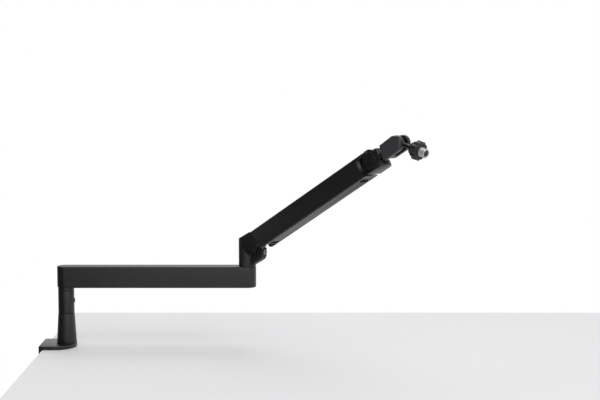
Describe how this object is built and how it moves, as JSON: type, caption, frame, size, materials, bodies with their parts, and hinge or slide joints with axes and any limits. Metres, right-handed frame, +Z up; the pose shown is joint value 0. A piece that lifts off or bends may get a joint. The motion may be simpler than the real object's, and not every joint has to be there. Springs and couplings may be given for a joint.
{
  "type": "microphone boom arm",
  "caption": "Low-profile black microphone boom arm on a desk clamp, with an upright riser, a level base arm, a tilting upper arm and a lever-locked ball head.",
  "frame": {"origin": "Where the pole axis meets the desk top, on the underside of the plate pad.", "axes": "+X along the base arm to the elbow, +Z up, +Y to the far side seen in the picture."},
  "size_m": [0.6988, 0.3599, 0.5496],
  "materials": {
    "alu_black": "satin",
    "steel_black": "satin",
    "rubber_pad": "matte",
    "plastic_black": "matte",
    "plastic_lever": "satin",
    "screw_black": "satin",
    "steel_plain": "satin",
    "magnet": "satin",
    "nylon": "matte",
    "spring_steel": "satin",
    "zinc_thread": "satin"
  },
  "bodies": {
    "stand": {"clamp_bracket": "steel_black", "plate_pad": "rubber_pad", "web_pad": "rubber_pad", "pole_socket": "alu_black", "socket_screws": "screw_black", "riser": "alu_black", "riser_sleeve": "plastic_black"},
    "lock_screw_body": {"lock_screw": "screw_black"},
    "jaw": {"pressure_pad": "steel_black", "jaw_rubber": "rubber_pad"},
    "screw": {"clamp_screw": "steel_plain", "screw_end_bolt": "screw_black", "hand_knob": "plastic_black"},
    "base_arm": {"hub_ring": "alu_black", "base_arm_shell": "alu_black", "base_pivot_shaft": "steel_plain", "elbow_sleeve": "plastic_black", "base_magnets": "magnet"},
    "base_cover_body": {"base_cover": "plastic_black"},
    "elbow": {"turret": "alu_black", "turret_shaft": "steel_plain", "shaft_washer": "steel_plain", "shaft_screw": "screw_black", "tilt_bolt": "steel_plain", "tilt_bolt_nut": "steel_plain", "elbow_caps": "plastic_black", "elbow_washers": "nylon", "tension_nut": "steel_plain"},
    "tension_screw_body": {"tension_screw": "steel_plain"},
    "upper_arm": {"upper_arm_shell": "alu_black", "elbow_block": "alu_black", "block_screws": "screw_black", "wrist_fork": "alu_black", "wrist_bolt": "steel_plain", "wrist_bolt_nut": "steel_plain", "wrist_caps": "plastic_black", "wrist_washers": "nylon", "upper_magnets": "magnet", "spring_anchor": "steel_black", "balance_spring": "spring_steel"},
    "push_rod": {"spring_guide": "steel_plain"},
    "upper_cover_body": {"upper_cover": "plastic_black"},
    "wrist": {"wrist_link": "alu_black", "swivel_collar": "plastic_black", "swivel_screw": "steel_plain"},
    "head": {"clamp_head": "alu_black", "lever_nut": "steel_plain"},
    "lever": {"thumb_lever": "plastic_lever", "lever_screw": "steel_plain"},
    "stud": {"ball_stud": "steel_black", "stud_collar": "plastic_black", "thread_adaptor": "zinc_thread"},
    "lock_nut_body": {"lock_nut": "plastic_black"}
  },
  "joints": [
    {"name": "jaw_travel", "type": "slide", "parent": "stand", "child": "jaw", "axis": [0, 0, 1], "range_m": [-0.03, 0.025]},
    {"name": "screw_turn", "type": "hinge", "parent": "jaw", "child": "screw", "pos_m": [0, 0, -0.08], "axis": [0, 0, 1], "range_deg": [-3600, 3000]},
    {"name": "lock_screw_turn", "type": "hinge", "parent": "stand", "child": "lock_screw_body", "pos_m": [0.015, 0, 0.0878], "axis": [1, 0, 0], "continuous": true},
    {"name": "base_turn", "type": "hinge", "parent": "stand", "child": "base_arm", "pos_m": [0, 0, 0.1075], "axis": [0, 0, 1], "continuous": true},
    {"name": "base_cover_pull", "type": "slide", "parent": "base_arm", "child": "base_cover_body", "axis": [0, 0, -1], "range_m": [0, 0.04]},
    {"name": "elbow_turn", "type": "hinge", "parent": "base_arm", "child": "elbow", "pos_m": [0.3404, 0, 0.1542], "axis": [0, 0, 1], "continuous": true},
    {"name": "arm_tilt", "type": "hinge", "parent": "elbow", "child": "upper_arm", "pos_m": [0.35105, -0.01099, 0.197], "axis": [-0.7181, -0.6959, 0], "range_deg": [-29.3, 50.7]},
    {"name": "tension_screw_turn", "type": "hinge", "parent": "elbow", "child": "tension_screw_body", "pos_m": [0.37297, -0.03361, 0.1834], "axis": [0.6959, -0.7181, 0], "continuous": true},
    {"name": "push_rod_slide", "type": "slide", "parent": "upper_arm", "child": "push_rod", "axis": [0.6069, -0.6263, 0.4894], "range_m": [-0.0232, 0.0135], "deforming": ["balance_spring"]},
    {"name": "upper_cover_pull", "type": "slide", "parent": "upper_arm", "child": "upper_cover_body", "axis": [0.3406, -0.3514, -0.8721], "range_m": [0, 0.03]},
    {"name": "wrist_tilt", "type": "hinge", "parent": "upper_arm", "child": "wrist", "pos_m": [0.56206, -0.22874, 0.36716], "axis": [-0.7181, -0.6959, 0], "range_deg": [-25, 85]},
    {"name": "head_swivel", "type": "hinge", "parent": "wrist", "child": "head", "pos_m": [0.58542, -0.25284, 0.38255], "axis": [0.6069, -0.6263, 0.4894], "continuous": true},
    {"name": "lever_turn", "type": "hinge", "parent": "head", "child": "lever", "pos_m": [0.59828, -0.26611, 0.39293], "axis": [-0.7181, -0.6959, 0], "range_deg": [-35, 35]},
    {"name": "stud_tilt", "type": "hinge", "parent": "head", "child": "stud", "pos_m": [0.60617, -0.27426, 0.39929], "axis": [-0.7181, -0.6959, 0], "range_deg": [-56, 144]},
    {"name": "lock_nut_turn", "type": "hinge", "parent": "stud", "child": "lock_nut_body", "pos_m": [0.63444, -0.30343, 0.38863], "axis": [0.6731, -0.6946, -0.2538], "continuous": true}
  ],
  "couplings": [
    {"joint": "screw_turn", "follows": "jaw_travel", "rad_per_m": 2094.4},
    {"joint": "push_rod_slide", "follows": "arm_tilt", "m_per_rad": -0.026}
  ]
}
